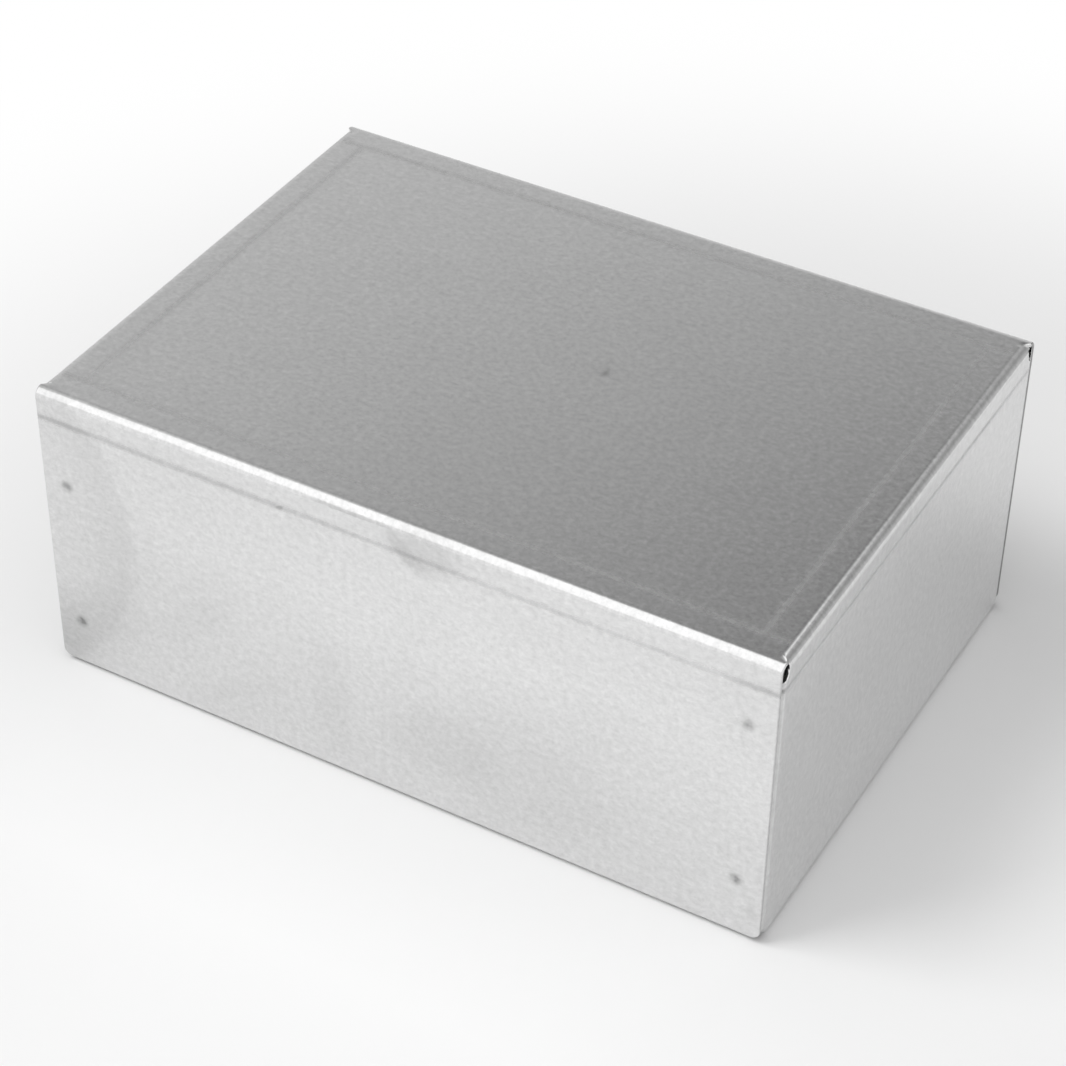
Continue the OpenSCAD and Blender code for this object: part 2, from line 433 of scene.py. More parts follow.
def soft_step(value, start, end):
    """0 up to the start, 1 past the end, and the smooth cubic 3 v^2 - 2 v^3 of the share v between."""
    v = np.clip((value - start) / (end - start), 0, 1)
    return v * v * (3 - 2 * v)


def hollow(u, v):
    """Share of a panel's hollow at u and v, each from -1 to 1 across it: (1 - u^2)^2 (1 - v^2)^2."""
    return (np.clip(1 - u * u, 0, 1) * np.clip(1 - v * v, 0, 1)) ** 2


def bell(distance, width):
    """Bell curve exp(-(d / width)^2) of a distance d."""
    return np.exp(-(distance / width) ** 2)


def weld_places(plan, marks):
    """Every spot weld as (sign of X, sign of Y, place along X, height)."""
    places = []
    for corner, rise, drop in zip(CORNERS, marks.weld_rise, marks.weld_drop):
        for height in (rise, plan.height - drop):
            places.append((*corner, corner[0] * (plan.half_l - marks.weld_inset), height))
    return places


def dish(marks, x, up, place):
    """Share of a weld dish's depth at each point: a bell curve of the distance from the weld."""
    _, _, weld_x, weld_up = place
    return bell(np.hypot(x - weld_x, up - weld_up), WELD_SPREAD * marks.weld_diameter)


def weld_band(marks, centres):
    """Stations across welds at some centres."""
    return (np.asarray(centres)[:, None] + WELD_STATIONS * marks.weld_diameter).ravel()


def line_band(width, centres):
    """Stations across die lines of a half width at some centres."""
    return (np.asarray(centres)[:, None] + LINE_STATIONS * width).ravel()


def cross_stations(plan, marks):
    """Stations across the top and the end walls, between the slits, shared where the two meet."""
    line = plan.half_w - marks.top_line
    ends = np.array([-plan.slit_end, plan.slit_end])
    features = np.concatenate((line_band(marks.top_line_width, (-line, line)), [marks.pit_place[1]], ends))
    return graded(ends, features, TOP_STEP, WIDE_STEP)


def wall_features(plan, marks, half_span, places):
    """Stations along the sheet that the marks on a wall need: its die line and its welds."""
    line = run_at_height(plan, half_span, plan.height - marks.wall_line)
    welds = [run_at_height(plan, half_span, height) for *_, height in places]
    return np.concatenate((line_band(marks.wall_line_width, [line]), weld_band(marks, welds)))


def sheet_patch(points, normals, blank, kept, **marks):
    """One grid of the sheet's middle: points, normals, places on the flat blank, kept cells and marks.

    A mark that isn't given is 0 all over the grid.
    """
    patch = SimpleNamespace(points=points, normals=normals, blank=blank, kept=kept)
    for name in PATCH_MARKS:
        setattr(patch, name, marks.get(name, np.zeros(points.shape[:2])))
    return patch


def foot_inset(plan, outer_out, outer_up):
    """Distance that a row of a long wall's foot stays back from the wall's end.

    From the corner's top the end follows an eighth of a circle, r - sqrt(r^2 - drop^2), and then falls away
    at 45 degrees. On the lip it is the mitre: its start plus the distance from the wall's outer face.
    """
    drop = np.clip(plan.foot_top - outer_up, 0, None)
    turn_drop = plan.foot_round * math.sin(math.pi / 4)
    arc = plan.foot_round - np.sqrt(plan.foot_round ** 2 - np.minimum(drop, turn_drop) ** 2)
    corner = arc + np.clip(drop - turn_drop, 0, None)
    mitre = plan.mitre_start + plan.half_w - outer_out
    return np.where(outer_up < plan.bend_out, np.maximum(corner, mitre), corner)


def long_lengths(plan, sheet, marks):
    """Stations along X, from one end of the long walls to the other."""
    line = plan.half_l - marks.top_line
    weld_x = plan.half_l - marks.weld_inset
    ends = np.array([plan.end_fold, plan.long_end])
    features = np.concatenate((
        line_band(marks.top_line_width, (-line, line)), weld_band(marks, (-weld_x, weld_x)),
        [marks.pit_place[0]], ends, -ends))
    lengths = graded(np.concatenate((-ends[::-1], ends)), features, WALL_STEP, WIDE_STEP)
    rounding = plan.long_end - sheet.wall_end_round * ROUND_STATIONS
    return np.unique(np.concatenate((lengths, rounding, -rounding)))


def long_runs(plan, marks, across):
    """Stations over the depth of the sheet, from the edge of one lip to the edge of the other."""
    stops = fold_stops(plan, plan.half_w)
    foot_run = run_at_height(plan, plan.half_w, plan.foot_top)
    sides = []
    for sign in (-1, 1):
        places = [place for place in weld_places(plan, marks) if place[1] == sign]
        features = np.concatenate((stops, [foot_run], wall_features(plan, marks, plan.half_w, places)))
        run = graded(np.concatenate(([plan.slit_end], stops)), features, WALL_STEP, WIDE_STEP)
        sides.append(run[1:])
    front, back = sides
    return np.concatenate((-front[::-1], across, back))


def long_marks(plan, marks, x, run, up, on_top, on_wall):
    """Die lines, welds and pit on the top and the long walls, each as a share of its depth.

    A die line is a bell curve of the distance across it. On the top the lines along the ends stop at the
    long ones. The pit is a bell curve of the distance from its middle, counted in its two radii.
    """
    end_line = plan.half_l - marks.top_line
    long_line = plan.half_w - marks.top_line
    wall_line = run_at_height(plan, plan.half_w, plan.height - marks.wall_line)
    span = np.abs(run)
    end_lines = np.where(span < long_line, bell(np.abs(x) - end_line, marks.top_line_width), 0)
    top_lines = np.maximum(bell(span - long_line, marks.top_line_width), end_lines)
    lines = np.maximum(marks.top_share * top_lines, bell(span - wall_line, marks.wall_line_width))
    welds = np.zeros_like(x)
    for place in weld_places(plan, marks):
        on_side = on_wall & (np.sign(run) == place[1])
        welds += np.where(on_side, dish(marks, x, up, place), 0)
    pit_x, pit_y = marks.pit_place
    half_length, half_depth = marks.pit_radius
    pit = bell(np.hypot((x - pit_x) / half_length, (run - pit_y) / half_depth), 1)
    return lines, welds, np.where(on_top, pit, 0)


def long_patch(plan, sheet, marks, across):
    """Top, front wall, back wall and their lips as one grid: X by the distance over the depth of the sheet.

    Each row of the grid is the fold path over the depth, the same at every X. A row at a wall's foot or on a
    lip is drawn in towards the middle by its inset. Past the end wall's fold line the rows between the slit
    and the long fold close up towards that fold in proportion to X, which leaves a pointed corner. At a
    distance d from a wall's end both faces roll off by r - sqrt(r^2 - (r - d)^2).
    """
    lengths = long_lengths(plan, sheet, marks)
    runs = long_runs(plan, marks, across)
    x, run = np.meshgrid(lengths, runs, indexing="ij")
    side = np.sign(run)
    span = np.abs(run)
    out, up, out_n, up_n = fold_path(plan, plan.half_w, span)
    flat_end, _, wall_end, _, _ = fold_stops(plan, plan.half_w)
    on_top = span < flat_end
    on_wall = (span >= flat_end) & (span <= wall_end)

    half_t = plan.thickness / 2
    inset = foot_inset(plan, out + out_n * half_t, up + up_n * half_t)
    place_x = x * (1 - inset / plan.long_end)
    close = TIP_CLOSE * np.clip((np.abs(x) - plan.end_fold) / (plan.long_end - plan.end_fold), 0, 1)
    closed = plan.long_fold - (plan.long_fold - out) * (1 - close)
    out = np.where(on_top & (span >= plan.slit_end), closed, out)

    from_middle = (up - plan.height / 2) / (plan.wall_run / 2)
    wall_sink = np.where(on_wall, hollow(x / plan.long_end, from_middle), 0)
    sink = np.where(on_top, hollow(x / plan.end_fold, run / flat_end), wall_sink)
    normals = np.stack((np.zeros_like(x), side * out_n, up_n), axis=-1)
    points = np.stack((place_x, side * out, up), axis=-1)
    points -= normals * (sheet.panel_hollow * sink)[..., None]

    centre_x = np.abs(lengths[1:] + lengths[:-1])[:, None] / 2
    centre_run = np.abs(runs[1:] + runs[:-1])[None, :] / 2
    kept = (centre_x < plan.end_fold) | (centre_run > plan.slit_end)
    to_end = plan.long_end - np.abs(x)
    left = np.clip(sheet.wall_end_round - to_end, 0, None)
    rolled = sheet.wall_end_round - np.sqrt(sheet.wall_end_round ** 2 - left ** 2)
    # Painted shade on the long walls' cut ends, standing for the shadow in the lap seam; lighter on the
    # front wall
    at_end = on_wall & (to_end < CUT_SHARE * sheet.wall_end_round)
    seam = np.where(at_end, np.where(side < 0, marks.front_seam_shade, 1), 0)
    lines, welds, pit = long_marks(plan, marks, x, run, up, on_top, on_wall)
    return sheet_patch(points, normals, np.stack((x, run), axis=-1), kept, lines=lines, welds=welds,
                       pit=pit, rolled=rolled, seam=seam, inner_seam=seam)


def end_stations(plan, marks, across, places):
    """Stations of an end wall's grid: from its top fold to its lip's edge, and across to the tabs' ends."""
    stops = fold_stops(plan, plan.half_l)
    flat_end, wall_start, wall_end, lip_start, lip_end = stops
    rows = np.array([flat_end, plan.notch_run, plan.notch_run + NOTCH_ROW, wall_start, plan.tab_foot_run,
                     wall_end, lip_start, lip_end])
    features = np.concatenate((
        stops, [plan.notch_run, plan.tab_foot_run], wall_features(plan, marks, plan.half_l, places)))
    runs = graded(rows, features, WALL_STEP, WIDE_STEP)

    weld_across = plan.tab_start + marks.weld_inset - plan.tab_bend_out
    columns = np.array([plan.slit_end, plan.notch_edge, plan.end_flat, plan.tab_start, plan.tab_end])
    features = np.concatenate((columns, weld_band(marks, [weld_across])))
    outer = graded(columns, features, TAB_STEP, TAB_WIDE_STEP)[1:]
    return runs, np.concatenate((-outer[::-1], across, outer))


def slit_spread(plan, run, flat, outer_x):
    """Distance across an end wall, spread out above the notch as far as the slit.

    The stretch past the slit's end is scaled so that it ends at the slit, whose edge runs out in proportion
    to x from the end wall's fold line to the long wall's end.
    """
    share = np.clip((outer_x - plan.end_fold) / (plan.long_end - plan.end_fold), 1 - TIP_CLOSE, 1)
    reach = share * (TIP_CLOSE * (plan.long_fold - plan.slit_end) - plan.slit_gap)
    stretch = reach / (plan.notch_edge - plan.slit_end)
    past_slit = np.clip(flat - plan.slit_end, 0, None)
    return np.where(run <= plan.notch_run, flat + past_slit * (stretch - 1), flat)


def notch_drop(plan, span, y, up):
    """Height on an end wall, drawn down past the notch's edge to the notch's round foot.

    The foot is at fold_end - sqrt(r^2 - d^2) for a distance d from the notch's middle.
    """
    level = plan.fold_end - NOTCH_BAND * plan.notch_r
    from_middle = np.clip(plan.notch_edge + plan.notch_r - y, 0, plan.notch_r)
    foot = plan.fold_end - np.sqrt(plan.notch_r ** 2 - from_middle ** 2)
    squeeze = np.where(span > plan.notch_edge, (foot - level) / (plan.fold_end - level), 1)
    return np.where(up > level, level + (up - level) * squeeze, up)


def end_patch(plan, sheet, marks, across, sign):
    """One end wall, its top fold, lip, vertical bends and tabs as one grid: along the sheet by across it.

    Along the grid each row follows the fold path over the length. Across it, past the flat wall, the row
    turns through a quarter circle of radius r and runs on as the tab: with the turn a, x falls by
    r (1 - cos a) and the tab's run, and y grows by r sin a. On the lip y shrinks with the distance from the
    wall's outer face, which is the mitre.
    """
    places = [place for place in weld_places(plan, marks) if place[0] == sign]
    runs, columns = end_stations(plan, marks, across, places)
    run, wide = np.meshgrid(runs, columns, indexing="ij")
    side = np.sign(wide)
    span = np.abs(wide)
    out, up, out_n, up_n = fold_path(plan, plan.half_l, run)
    _, wall_start, wall_end, _, _ = fold_stops(plan, plan.half_l)

    half_t = plan.thickness / 2
    turn = np.clip((span - plan.end_flat) / plan.tab_bend_mid, 0, QUARTER_TURN)
    tab = np.clip(span - plan.tab_start, 0, None)
    x = out - plan.tab_bend_mid * (1 - np.cos(turn)) - tab
    flat = slit_spread(plan, run, np.clip(span, 0, plan.end_flat), out + out_n * half_t)
    past_wall = np.where(run > wall_end, plan.half_l - out - half_t, 0)
    y = flat * (1 - past_wall / plan.end_flat) + plan.tab_bend_mid * np.sin(turn)
    z = np.where(run >= wall_start, notch_drop(plan, span, y, up), up)

    from_middle = (up - plan.height / 2) / (plan.wall_run / 2)
    sink = np.where(run <= wall_end, hollow(wide / plan.end_flat, from_middle), 0)
    normals = np.stack((sign * out_n * np.cos(turn), side * out_n * np.sin(turn), up_n), axis=-1)
    points = np.stack((sign * x, side * y, z), axis=-1)
    points -= normals * (sheet.panel_hollow * sink)[..., None]

    wall_line = run_at_height(plan, plan.half_l, plan.height - marks.wall_line)
    line = marks.end_share * bell(run - wall_line, marks.wall_line_width)
    inner_welds = np.zeros_like(run)
    for place in places:
        on_tab = (side == place[1]) & (tab > 0)
        inner_welds += np.where(on_tab, dish(marks, sign * x, z, place), 0)

    centre_run = (runs[1:] + runs[:-1])[:, None] / 2
    centre_wide = np.abs(columns[1:] + columns[:-1])[None, :] / 2
    below_fold = centre_run > wall_start
    beside_notch = centre_wide < plan.notch_edge
    on_wall_and_lip = below_fold & (centre_wide < plan.end_flat)
    on_tabs = below_fold & (centre_run < plan.tab_foot_run)
    # The vertical bends get painted shade as they turn in behind the long walls' cut ends
    return sheet_patch(points, normals, np.stack((sign * run, wide), axis=-1),
                       beside_notch | on_wall_and_lip | on_tabs,
                       lines=np.where(span < plan.tab_start, line, 0), inner_welds=inner_welds,
                       seam=PAINTED_BEND_SHADE * soft_step(turn, *BEND_SHADE_TURNS))


def grid_cells(rows, columns, start=0):
    """Numbers of the four points round each cell of a grid whose first point has the number start."""
    index = start + np.arange(rows * columns).reshape(rows, columns)
    return np.stack((index[:-1, :-1], index[1:, :-1], index[1:, 1:], index[:-1, 1:]), axis=-1)


def join_patches(patches):
    """Joins grids along their common stations.

    Equal points become one, points of no kept cell are dropped, and each quad is turned to face out.
    """
    quads = []
    start = 0
    for patch in patches:
        quads.append(grid_cells(*patch.lines.shape, start)[patch.kept])
        start += patch.lines.size
    quads = np.concatenate(quads)

    def gather(name, width):
        """One array of all the patches, as rows of a width."""
        return np.concatenate([getattr(patch, name).reshape(-1, width) for patch in patches])

    points = gather("points", 3)
    used = np.unique(quads)
    place = np.round(points[used] / MERGE_STEP).astype(np.int64)
    _, first, same = np.unique(place, axis=0, return_index=True, return_inverse=True)
    kept = used[first]
    new_index = np.zeros(len(points), np.int64)
    new_index[used] = same.ravel()
    quads = new_index[quads]

    joined = SimpleNamespace(points=points[kept], normals=gather("normals", 3)[kept],
                             blank=gather("blank", 2)[kept])
    for name in PATCH_MARKS:
        setattr(joined, name, gather(name, 1)[kept, 0])
    across = joined.points[quads[:, 2]] - joined.points[quads[:, 0]]
    along = joined.points[quads[:, 3]] - joined.points[quads[:, 1]]
    facing = np.einsum("ij,ij->i", np.cross(across, along), joined.normals[quads[:, 0]])
    joined.quads = np.where(facing[:, None] < 0, quads[:, ::-1], quads)
    return joined


def boundary_edges(quads):
    """Directed edges that belong to one quad only."""
    edges = np.concatenate([quads[:, [i, (i + 1) % 4]] for i in range(4)])
    _, index, count = np.unique(np.sort(edges, axis=1), axis=0, return_index=True, return_counts=True)
    return edges[index[count == 1]]


def thicken(joined, sheet, marks):
    """Points and quads of the sheet's outer face, inner face and cut edges.

    Each point of the middle goes out and in by half of the thickness along its normal, less the depth of the
    marks and of the rounding there. A quad closes each free edge.
    """
    count = len(joined.points)
    free = boundary_edges(joined.quads)
    rolled = joined.rolled.copy()
    rolled[free] = np.maximum(rolled[free], sheet.cut_edge)
    outer_mark = (marks.line_depth * joined.lines + marks.weld_depth * joined.welds
                  + marks.pit_depth * joined.pit)
    inner_mark = marks.weld_depth * joined.inner_welds
    outer = joined.points + joined.normals * (sheet.thickness / 2 - outer_mark - rolled)[:, None]
    inner = joined.points - joined.normals * (sheet.thickness / 2 - inner_mark - rolled)[:, None]
    rim = np.column_stack((free[:, 1], free[:, 0], free[:, 0] + count, free[:, 1] + count))
    quads = np.concatenate((joined.quads, joined.quads[:, ::-1] + count, rim))
    return np.concatenate((outer, inner)), quads


def point_attribute(mesh, name, values):
    """Stores one number for each point of a mesh."""
    attribute = mesh.attributes.new(name, "FLOAT", "POINT")
    attribute.data.foreach_set("value", np.ascontiguousarray(values, np.float32))


def shade_smooth(mesh):
    """Shades every face of a mesh as part of one smooth surface."""
    mesh.polygons.foreach_set("use_smooth", np.ones(len(mesh.polygons), bool))


def fold_chassis(sheet, marks):
    """Mesh of the folded sheet, with the places of its marks and its flat blank kept on its points."""
    plan = sheet_layout(sheet)
    across = cross_stations(plan, marks)
    patches = [long_patch(plan, sheet, marks, across)]
    patches += [end_patch(plan, sheet, marks, across, sign) for sign in (-1, 1)]
    joined = join_patches(patches)
    points, quads = thicken(joined, sheet, marks)

    mesh = bpy.data.meshes.new("folded_sheet")
    mesh.from_pydata(points, [], quads)
    mesh.validate()
    nothing = np.zeros(len(joined.points))
    point_attribute(mesh, "die_line", np.concatenate((joined.lines, nothing)))
    point_attribute(mesh, "weld", np.concatenate((joined.welds, joined.inner_welds)))
    point_attribute(mesh, "pit", np.concatenate((joined.pit, nothing)))
    # Painted shade in the seams beside the cut ends, on both faces
    point_attribute(mesh, "seam", np.concatenate((joined.seam, joined.inner_seam)))
    blank = mesh.uv_layers.new(name="blank")
    corner_points = np.zeros(len(mesh.loops), np.int64)
    mesh.loops.foreach_get("vertex_index", corner_points)
    both_faces = np.concatenate((joined.blank, joined.blank))
    blank.data.foreach_set("uv", both_faces[corner_points].astype(np.float32).ravel())
    shade_smooth(mesh)
    mesh.set_sharp_from_angle(angle=SHARP_TURN)
    return mesh


class NodeBench:
    """Shorthand for wiring a node tree."""

    def __init__(self, tree):
        self.tree = tree
        tree.nodes.clear()

    def add(self, kind, inputs=(), **settings):
        """Adds a node, sets its own settings, and fills its inputs with values or links."""
        node = self.tree.nodes.new(kind)
        for name, value in settings.items():
            setattr(node, name, value)
        for name, value in dict(inputs).items():
            self.fill(node.inputs[name], value)
        return node

    def fill(self, socket, value):
        """Links a socket to another, or sets it to a value."""
        if isinstance(value, bpy.types.NodeSocket):
            self.tree.links.new(value, socket)
        else:
            socket.default_value = value

    def math(self, operation, *values):
        """Output of a Math node."""
        node = self.add("ShaderNodeMath", operation=operation)
        for socket, value in zip(node.inputs, values):
            self.fill(socket, value)
        return node.outputs[0]

    def ramp(self, value, low, high, to_low=0.0, to_high=1.0, smooth=False):
        """Output of a Map Range node, held within its range."""
        node = self.add("ShaderNodeMapRange", {"Value": value, "From Min": low, "From Max": high,
                                               "To Min": to_low, "To Max": to_high})
        node.interpolation_type = "SMOOTHERSTEP" if smooth else "LINEAR"
        return node.outputs["Result"]

    def swing(self, pattern, bounds, middle, reach):
        """A value from middle - reach to middle + reach, as a pattern goes from one bound to the other."""
        return self.ramp(pattern, *bounds, middle - reach, middle + reach)

    def noise(self, vector, scale, detail=2.0, roughness=0.5):
        """Output of a Noise Texture node, around 0.5."""
        node = self.add("ShaderNodeTexNoise", {"Vector": vector, "Scale": scale, "Detail": detail,
                                               "Roughness": roughness})
        return node.outputs["Fac"]

    def attribute(self, name):
        """Number that is kept on the mesh under a name."""
        return self.add("ShaderNodeAttribute", attribute_name=name).outputs["Fac"]


def new_material(name):
    """A new material, and a bench for its empty node tree."""
    material = bpy.data.materials.new(name)
    material.use_nodes = True
    return material, NodeBench(material.node_tree)


def warped(bench, place, scale, reach):
    """A place moved about by up to half of a reach, so that shapes laid out on it get uneven edges."""
    noise = bench.add("ShaderNodeTexNoise", {"Vector": place, "Scale": scale, "Detail": 2.0})
    centred = bench.add("ShaderNodeVectorMath", {0: noise.outputs["Color"], 1: (0.5, 0.5, 0.5)},
                        operation="SUBTRACT")
    move = bench.add("ShaderNodeVectorMath", {0: centred.outputs[0], "Scale": reach}, operation="SCALE")
    return bench.add("ShaderNodeVectorMath", {0: place, 1: move.outputs[0]}, operation="ADD").outputs[0]


def stain_and_shade_mask(bench, place, centre, radii, tilt, softness):
    """1 inside a tilted ellipse on the flat blank and 0 outside, with a soft edge."""
    near = bench.add("ShaderNodeMapping", {
        "Vector": place, "Location": (*centre, 0), "Rotation": (0, 0, tilt), "Scale": (*radii, 1)},
        vector_type="TEXTURE")
    distance = bench.add("ShaderNodeVectorMath", {0: near.outputs[0]}, operation="LENGTH").outputs["Value"]
    return bench.ramp(distance, 1 - softness, 1 + softness, 1.0, 0.0, smooth=True)


def stains_and_painted_shade(bench, blank, plan):
    """How much the stains, the small marks and the painted shade band along the front wall's foot darken
    each place of the flat blank.
    """
    dark = 0.0
    for spots, warp in ((STAINS_AND_SHADE, STAIN_AND_SHADE_WARP), (MARKS, MARK_WARP)):
        place = warped(bench, blank, *warp)
        for along, up, half_length, half_height, tilt, depth, softness in spots:
            centre = (along * MM, -run_at_height(plan, plan.half_w, up * MM))
            radii = (half_length * MM, half_height * MM)
            mask = stain_and_shade_mask(bench, place, centre, radii, math.radians(tilt), softness)
            dark = bench.math("MULTIPLY_ADD", mask, depth, dark)
    return dark


def weld_blotch(bench, blotch):
    """How much a weld darkens the metal: a soft blotch with an uneven edge and an uneven depth."""
    spread = bench.math("MULTIPLY", bench.attribute("weld"), bench.ramp(blotch, 0.3, 0.65, *WELD_EDGE))
    return bench.math("MULTIPLY", bench.ramp(spread, 0.05, 1.0), bench.ramp(blotch, 0.35, 0.6, *WELD_DARK))


def mill_aluminium(finish, plan):
    """Mill-finished sheet aluminium: fine mottled grain, dull tool marks, weld blotches, stains, and painted
    shade at the seams and along the front wall's foot.

    All patterns lie on the flat blank, so they run on round the folds.
    """
    material, bench = new_material("mill_aluminium")
    blank = bench.add("ShaderNodeUVMap", uv_map="blank").outputs["UV"]
    rolled = bench.add("ShaderNodeMapping", {"Vector": blank, "Scale": (GRAIN_STRETCH, 1, 1)}).outputs[0]
    grain = bench.noise(rolled, GRAIN_SCALE, detail=3.0, roughness=0.75)
    blotch = bench.noise(blank, BLOTCH_SCALE)
    cloud = bench.noise(blank, CLOUD_SCALE)
    line = bench.attribute("die_line")

    tone = bench.swing(grain, GRAIN_BOUNDS, 1.0, GRAIN_SWING * finish.grain)
    tone = bench.math("MULTIPLY", tone, bench.swing(cloud, NOISE_BOUNDS, 1.0, CLOUD_SWING))
    tone = bench.math("MULTIPLY", tone, bench.swing(blotch, NOISE_BOUNDS, 1.0, BLOTCH_SWING))
    dark = bench.math("MULTIPLY", line, bench.ramp(cloud, 0.35, 0.65, *LINE_DARK))
    # Stains, small marks and the painted shade band along the front wall's foot
    dark = bench.math("MULTIPLY_ADD", stains_and_painted_shade(bench, blank, plan), finish.stain_and_shade, dark)
    dark = bench.math("ADD", dark, weld_blotch(bench, blotch))
    dark = bench.math("MULTIPLY_ADD", bench.attribute("pit"), PIT_DARK, dark)
    # Painted shade in the seams: on the long walls' cut ends and on the vertical bends behind them
    dark = bench.math("MULTIPLY_ADD", bench.attribute("seam"), SEAM_SHADE_DARK, dark)
    tone = bench.math("MULTIPLY", tone, bench.math("SUBTRACT", 1.0, dark))
    colour = bench.add("ShaderNodeVectorMath", {0: finish.colour, "Scale": tone}, operation="SCALE")

    roughness = bench.swing(grain, NOISE_BOUNDS, finish.roughness, ROUGHNESS_SWING)
    roughness = bench.math("MULTIPLY_ADD", line, LINE_ROUGHNESS, roughness)
    shader = bench.add("ShaderNodeBsdfPrincipled", {
        "Base Color": colour.outputs[0], "Metallic": 1.0, "Roughness": roughness})
    bench.add("ShaderNodeOutputMaterial", {"Surface": shader.outputs[0]})
    return material


class CHASSIS_OT_fold_sheet(bpy.types.Operator):
    """Fold the chassis from one sheet and give it its mill finish"""

    bl_idname = "chassis.fold_sheet"
    bl_label = "Fold Chassis"
    bl_options = {"REGISTER", "UNDO"}

    def execute(self, context):
        scene = context.scene
        mesh = fold_chassis(scene.chassis_sheet, scene.chassis_marks)
        mesh.materials.append(mill_aluminium(scene.chassis_finish, sheet_layout(scene.chassis_sheet)))
        piece = bpy.data.objects.new("folded_chassis", mesh)
        scene.collection.objects.link(piece)
        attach(piece, "root")
        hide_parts(CAD_NODE)
        return {"FINISHED"}


def grid_mesh(name, points):
    """Smooth mesh of a grid of points."""
    mesh = bpy.data.meshes.new(name)
    mesh.from_pydata(points.reshape(-1, 3), [], grid_cells(*points.shape[:2]).reshape(-1, 4))
    shade_smooth(mesh)
    return mesh


def seen_directly(bench):
    """1 for a ray from the camera, off a mirror or through glass, and 0 for any other."""
    path = bench.add("ShaderNodeLightPath").outputs
    return bench.math("MAXIMUM", path["Is Camera Ray"],
                      bench.math("MAXIMUM", path["Is Glossy Ray"], path["Is Transmission Ray"]))


def white_world(world, fill):
    """White all round where it is seen, and a weak grey fill where it only lights something."""
    world.use_nodes = True
    bench = NodeBench(world.node_tree)
    strength = bench.ramp(seen_directly(bench), 0.0, 1.0, fill, 1.0)
    back = bench.add("ShaderNodeBackground", {"Color": (1, 1, 1, 1), "Strength": strength})
    bench.add("ShaderNodeOutputWorld", {"Surface": back.outputs[0]})


def floor_material(studio):
    """Pale matt floor that fades into the white of the background away from the chassis."""
    material, bench = new_material("pale_floor")
    place = bench.add("ShaderNodeTexCoord").outputs["Object"]
    from_middle = bench.add("ShaderNodeVectorMath", {0: place, 1: FADE_MIDDLE}, operation="DISTANCE")
    far = bench.ramp(from_middle.outputs["Value"], *FADE_RANGE, smooth=True)
    matt = bench.add("ShaderNodeBsdfDiffuse", {"Color": (*studio.floor_colour, 1)})
    white = bench.add("ShaderNodeEmission", {"Color": (1, 1, 1, 1), "Strength": 1.0})
    mix = bench.add("ShaderNodeMixShader", {
        "Fac": bench.math("MULTIPLY", far, seen_directly(bench)), 1: matt.outputs[0], 2: white.outputs[0]})
    bench.add("ShaderNodeOutputMaterial", {"Surface": mix.outputs[0]})
    return material


def glowing_card():
    """Card that glows as bright as the number kept at each of its points, and isn't sampled as a lamp."""
    material, bench = new_material("glowing_card")
    glow = bench.add("ShaderNodeEmission", {"Color": (1, 1, 1, 1), "Strength": bench.attribute("glow")})
    bench.add("ShaderNodeOutputMaterial", {"Surface": glow.outputs[0]})
    material.cycles.emission_sampling = "NONE"
    return material


def stage_object(name, data):
    """Links an object that belongs to the studio and not to the chassis."""
    thing = bpy.data.objects.new(name, data)
    bpy.context.scene.collection.objects.link(thing)
    return thing


def disc(radius, rings=24, spokes=96, pinhole=0.0005):
    """Flat disc: radius times the square of a share s, at an angle t, from a pinhole in the middle out."""
    s, t = np.meshgrid(np.linspace(pinhole, 1, rings), np.linspace(0, 2 * math.pi, spokes), indexing="ij")
    reach = radius * s ** 2
    return np.stack((reach * np.cos(t), reach * np.sin(t), np.zeros_like(s)), axis=-1)


def softbox(height, brightest, columns=25, rows=9):
    """Flat softbox overhead, and its glow.

    It is laid out along its own axes u and v, in multiples of its height, and turned about Z. Its left side
    runs out towards the front in proportion to v, and its glow falls off at the right.
    """
    share, v = np.meshgrid(
        np.linspace(0, 1, columns), np.linspace(SOFTBOX_FRONT, SOFTBOX_BACK, rows), indexing="ij")
    left = SOFTBOX_LEFT + SOFTBOX_FLARE * np.minimum(v, 0)
    u = left + share * (SOFTBOX_RIGHT - left)
    x = u * math.cos(SOFTBOX_TURN) - v * math.sin(SOFTBOX_TURN)
    y = u * math.sin(SOFTBOX_TURN) + v * math.cos(SOFTBOX_TURN)
    points = height * np.stack((x, y, np.ones_like(u)), axis=-1) + (0, 0, CAD_HIGH[2])
    return points, brightest * (1 - SOFTBOX_FALL * soft_step(u, *SOFTBOX_FALL_RANGE))


